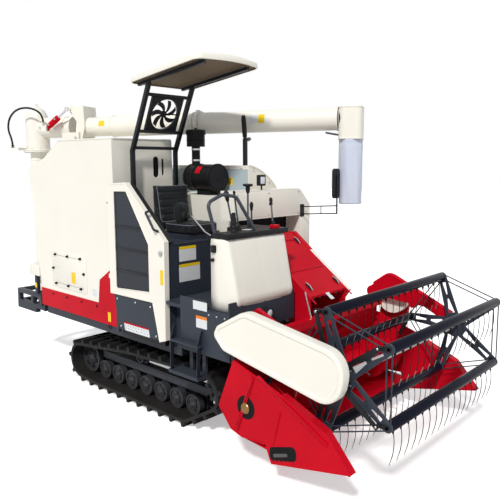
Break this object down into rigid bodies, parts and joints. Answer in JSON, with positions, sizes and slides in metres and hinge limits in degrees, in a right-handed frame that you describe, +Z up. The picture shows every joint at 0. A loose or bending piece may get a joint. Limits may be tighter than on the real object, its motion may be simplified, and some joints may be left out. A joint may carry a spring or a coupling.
{
  "type": "combine harvester",
  "caption": "Small tracked combine harvester with open operator seat, grain tank, swinging unloading auger and a narrow reel header.",
  "frame": {"origin": "on the ground below the middle of the overall box", "axes": "+X forward towards the reel, +Y the machine's left, +Z up"},
  "size_m": [5.1862, 2.1745, 3.2604],
  "materials": {
    "cream_paint": "satin",
    "red_paint": "gloss",
    "slate_paint": "satin",
    "black_steel": "satin",
    "navy_gloss": "gloss",
    "cast_metal": "matte",
    "steel": "brushed",
    "chrome": "polished",
    "rubber": "matte",
    "black_plastic": "matte",
    "roof_plastic": "satin",
    "seat_vinyl": "satin",
    "sock_fabric": "thin"
  },
  "bodies": {
    "chassis": {"track_right": "rubber", "track_left": "rubber", "track_wheels_right": "slate_paint", "track_wheels_left": "slate_paint", "main_frame": "slate_paint", "gearbox": "slate_paint", "rear_frame": "slate_paint", "grain_tank": "cream_paint", "tank_fittings": "cream_paint", "skirt": "red_paint", "seat_box": "slate_paint", "radiator": "black_steel", "engine_block": "cast_metal", "seat_cushion": "seat_vinyl", "seat_back": "seat_vinyl", "side_pad": "seat_vinyl", "operator_floor": "slate_paint", "console": "cream_paint", "controls": "black_plastic", "thresher_housing": "cream_paint", "straw_hood": "slate_paint", "rest_arm": "slate_paint", "canopy_frame": "slate_paint", "canopy_roof": "roof_plastic", "air_cleaner": "black_plastic", "auger_pipe": "cream_paint", "mirror": "black_plastic", "lamps": "black_plastic"},
    "door": {"radiator_door": "cream_paint", "door_screen": "black_steel"},
    "fan": {"fan_rotor": "black_plastic"},
    "header": {"feeder_house": "red_paint", "header_frame": "red_paint", "knife_bar": "steel", "drive_covers": "red_paint"},
    "header_auger": {"header_auger": "navy_gloss"},
    "header_lift_barrel": {"header_lift_barrel": "black_steel"},
    "header_lift_rod": {"header_lift_rod": "chrome"},
    "reel_arms": {"reel_arms": "red_paint", "chain_cover": "cream_paint"},
    "reel_lift_barrels": {"reel_lift_barrels": "black_steel"},
    "reel_lift_rods": {"reel_lift_rods": "chrome"},
    "reel": {"reel_stars": "slate_paint"},
    "control_star": {"control_star": "slate_paint"},
    "turret": {"auger_elbow": "cream_paint", "lift_hose": "rubber"},
    "unload_tube": {"unload_tube": "cream_paint", "sock": "sock_fabric"},
    "tube_lift_barrel": {"tube_lift_barrel": "red_paint"},
    "tube_lift_rod": {"tube_lift_rod": "chrome"},
    "bat_1": {"bat_1": "navy_gloss"},
    "bat_2": {"bat_2": "navy_gloss"},
    "bat_3": {"bat_3": "navy_gloss"},
    "bat_4": {"bat_4": "navy_gloss"},
    "bat_5": {"bat_5": "navy_gloss"}
  },
  "joints": [
    {"name": "door_hinge", "type": "hinge", "parent": "chassis", "child": "door", "pos_m": [-0.411, -0.893, 1.25], "axis": [0, 0, -1], "range_deg": [0, 100]},
    {"name": "fan_spin", "type": "hinge", "parent": "chassis", "child": "fan", "pos_m": [-0.2943, -0.31, 2.7799], "axis": [0.9087, 0, -0.4175], "continuous": true},
    {"name": "header_lift", "type": "hinge", "parent": "chassis", "child": "header", "pos_m": [0.62, 0.175, 1.5], "axis": [0, -1, 0], "range_deg": [-8, 11]},
    {"name": "header_lift_barrel_turn", "type": "hinge", "parent": "chassis", "child": "header_lift_barrel", "pos_m": [0.66, 0.155, 0.745], "axis": [0, -1, 0], "range_deg": [-4.1, 5.6]},
    {"name": "header_lift_rod_slide", "type": "slide", "parent": "header_lift_barrel", "child": "header_lift_rod", "axis": [0.9353, 0, 0.3539], "range_m": [-0.0999, 0.1374]},
    {"name": "header_auger_spin", "type": "hinge", "parent": "header", "child": "header_auger", "pos_m": [1.459, 0, 0.538], "axis": [0, 1, 0], "continuous": true},
    {"name": "reel_lift", "type": "hinge", "parent": "header", "child": "reel_arms", "pos_m": [1.32, 0, 1.085], "axis": [0, -1, 0], "range_deg": [-6, 10]},
    {"name": "reel_lift_barrels_turn", "type": "hinge", "parent": "header", "child": "reel_lift_barrels", "pos_m": [1.6, 0, 0.7], "axis": [0, -1, 0], "range_deg": [-2.5, 4.1]},
    {"name": "reel_lift_rods_slide", "type": "slide", "parent": "reel_lift_barrels", "child": "reel_lift_rods", "axis": [0.4735, 0, 0.8808], "range_m": [-0.0445, 0.0742]},
    {"name": "reel_spin", "type": "hinge", "parent": "reel_arms", "child": "reel", "pos_m": [2.199, 0, 0.9195], "axis": [0, 1, 0], "continuous": true},
    {"name": "control_star_spin", "type": "hinge", "parent": "reel_arms", "child": "control_star", "pos_m": [2.137, -0.88, 0.9195], "axis": [0, 1, 0], "continuous": true},
    {"name": "bat_1_turn", "type": "hinge", "parent": "reel", "child": "bat_1", "pos_m": [2.5493, 0, 1.17401], "axis": [0, 1, 0], "continuous": true},
    {"name": "bat_2_turn", "type": "hinge", "parent": "reel", "child": "bat_2", "pos_m": [2.0652, 0, 1.33131], "axis": [0, 1, 0], "continuous": true},
    {"name": "bat_3_turn", "type": "hinge", "parent": "reel", "child": "bat_3", "pos_m": [1.766, 0, 0.9195], "axis": [0, 1, 0], "continuous": true},
    {"name": "bat_4_turn", "type": "hinge", "parent": "reel", "child": "bat_4", "pos_m": [2.0652, 0, 0.50769], "axis": [0, 1, 0], "continuous": true},
    {"name": "bat_5_turn", "type": "hinge", "parent": "reel", "child": "bat_5", "pos_m": [2.5493, 0, 0.66499], "axis": [0, 1, 0], "continuous": true},
    {"name": "turret_turn", "type": "hinge", "parent": "chassis", "child": "turret", "pos_m": [-2.28, -0.57, 2.455], "axis": [0, 0, 1], "range_deg": [0, 100]},
    {"name": "tube_lift", "type": "hinge", "parent": "turret", "child": "unload_tube", "pos_m": [-1.7378, -0.3131, 2.59], "axis": [0.4281, -0.9037, 0], "range_deg": [0, 20]},
    {"name": "tube_lift_barrel_turn", "type": "hinge", "parent": "turret", "child": "tube_lift_barrel", "pos_m": [-1.9658, -0.6259, 2.692], "axis": [0.4281, -0.9037, 0], "range_deg": [0, 7.2]},
    {"name": "tube_lift_rod_slide", "type": "slide", "parent": "tube_lift_barrel", "child": "tube_lift_rod", "axis": [0.7159, 0.3392, 0.6103], "range_m": [-0.1041, 0]}
  ],
  "couplings": [
    {"joint": "header_lift_barrel_turn", "follows": "header_lift", "ratio": 0.50084},
    {"joint": "header_lift_rod_slide", "follows": "header_lift", "m_per_rad": 0.71539},
    {"joint": "reel_lift_barrels_turn", "follows": "reel_lift", "ratio": 0.40689},
    {"joint": "reel_lift_rods_slide", "follows": "reel_lift", "m_per_rad": 0.42474},
    {"joint": "control_star_spin", "follows": "reel_spin", "ratio": 1},
    {"joint": "bat_1_turn", "follows": "reel_spin", "ratio": -1},
    {"joint": "bat_2_turn", "follows": "reel_spin", "ratio": -1},
    {"joint": "bat_3_turn", "follows": "reel_spin", "ratio": -1},
    {"joint": "bat_4_turn", "follows": "reel_spin", "ratio": -1},
    {"joint": "bat_5_turn", "follows": "reel_spin", "ratio": -1},
    {"joint": "tube_lift_barrel_turn", "follows": "tube_lift", "ratio": 0.3594},
    {"joint": "tube_lift_rod_slide", "follows": "tube_lift", "m_per_rad": -0.29798}
  ]
}
